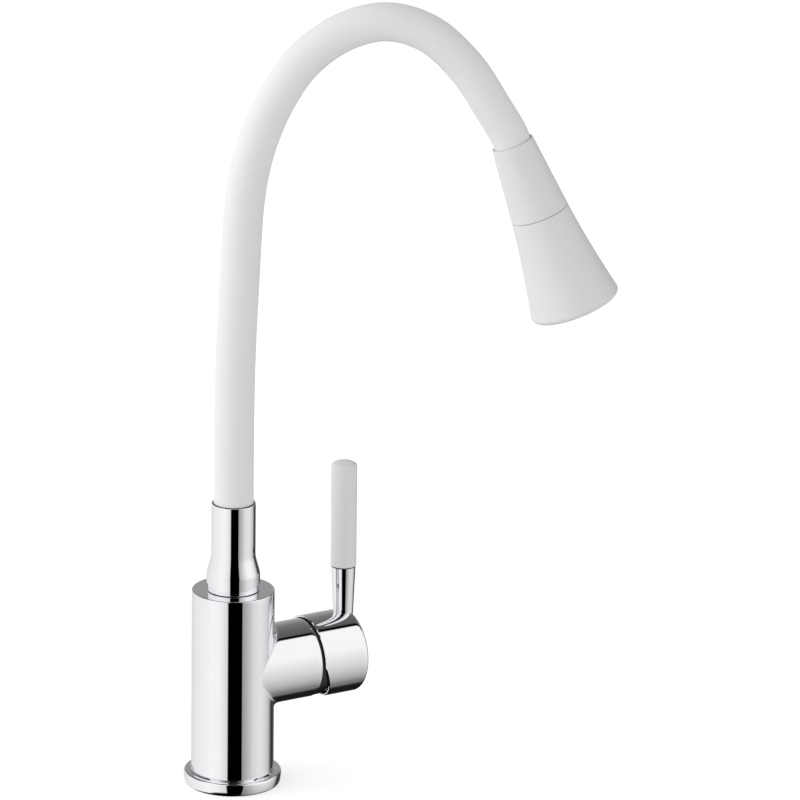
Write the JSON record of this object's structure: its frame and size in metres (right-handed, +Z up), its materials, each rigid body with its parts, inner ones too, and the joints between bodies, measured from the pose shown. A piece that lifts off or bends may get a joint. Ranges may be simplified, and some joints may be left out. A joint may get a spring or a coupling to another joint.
{
  "type": "kitchen mixer tap",
  "caption": "Deck-mounted single-lever kitchen mixer tap with a chrome body, a side lever, a flexible white arched spout and a conical twist spray head.",
  "frame": {"origin": "centre of the foot, on the deck", "axes": "+Z up the body, +X the way the spout reaches at rest; the lever side leaves the body 31 degrees round from +X towards +Y"},
  "size_m": [0.2445, 0.0877, 0.4638],
  "materials": {
    "chrome": "polished",
    "brass": "satin",
    "steel": "satin",
    "matt_white": "matte",
    "soft_white": "matte",
    "black_cover": "gloss",
    "black_rubber": "matte",
    "grey_rubber": "matte",
    "ceramic": "gloss",
    "inner_plastic": "satin"
  },
  "bodies": {
    "deck_body": {"base_ring": "chrome", "base_seal": "black_rubber", "body_casting": "chrome", "cartridge_seal": "black_rubber", "cartridge_base": "inner_plastic", "fixed_disc": "ceramic", "cartridge_shell": "inner_plastic", "cartridge_nut": "brass", "dome_cover": "black_cover", "spout_lock_screw": "steel"},
    "mixing_carrier": {"stem_carrier": "inner_plastic", "stem_pin": "steel"},
    "disc_slider": {"moving_disc": "ceramic", "disc_driver": "inner_plastic"},
    "lever": {"lever_stem": "steel", "lever_cap": "chrome", "lever_grub_screw": "steel", "grub_plug": "chrome", "lever_rod": "steel", "lever_sleeve": "matt_white"},
    "spout": {"spout_spigot": "brass", "lower_seal_ring": "black_rubber", "upper_seal_ring": "black_rubber", "bearing_washer": "inner_plastic", "spout_collar": "chrome", "hose_cover": "soft_white", "stay_put_arm": "steel", "water_hose": "grey_rubber"},
    "spray_head": {"head_upper_shell": "matt_white", "head_nipple": "brass", "nipple_nut": "brass", "water_core": "inner_plastic"},
    "jet_selector": {"head_lower_shell": "matt_white", "selector_disc": "inner_plastic", "nozzle_mat": "grey_rubber", "face_plate": "inner_plastic", "aerator_body": "inner_plastic", "aerator_screen": "steel"}
  },
  "joints": [
    {"name": "spout_swivel", "type": "hinge", "parent": "deck_body", "child": "spout", "pos_m": [0, 0, 0.1171], "axis": [0, 0, 1], "continuous": true},
    {"name": "spout_flex", "type": "hinge", "parent": "spout", "child": "spray_head", "pos_m": [0.082, 0, 0.425], "axis": [0, 1, 0], "range_deg": [-30, 20], "deforming": ["hose_cover", "stay_put_arm", "water_hose"]},
    {"name": "jet_twist", "type": "hinge", "parent": "spray_head", "child": "jet_selector", "pos_m": [0.17142, 0, 0.34333], "axis": [0.3649, 0, -0.9311], "range_deg": [0, 90]},
    {"name": "lever_temperature", "type": "hinge", "parent": "deck_body", "child": "mixing_carrier", "pos_m": [0, 0, 0.0675], "axis": [0.8572, 0.515, 0], "range_deg": [-50, 50]},
    {"name": "lever_flow", "type": "hinge", "parent": "mixing_carrier", "child": "lever", "pos_m": [0.04174, 0.02508, 0.0675], "axis": [-0.515, 0.8572, 0], "range_deg": [0, 20]},
    {"name": "disc_slide", "type": "slide", "parent": "mixing_carrier", "child": "disc_slider", "axis": [0, 0, 1], "range_m": [0, 0.0052]}
  ],
  "couplings": [
    {"joint": "disc_slide", "follows": "lever_flow", "m_per_rad": 0.0145}
  ]
}
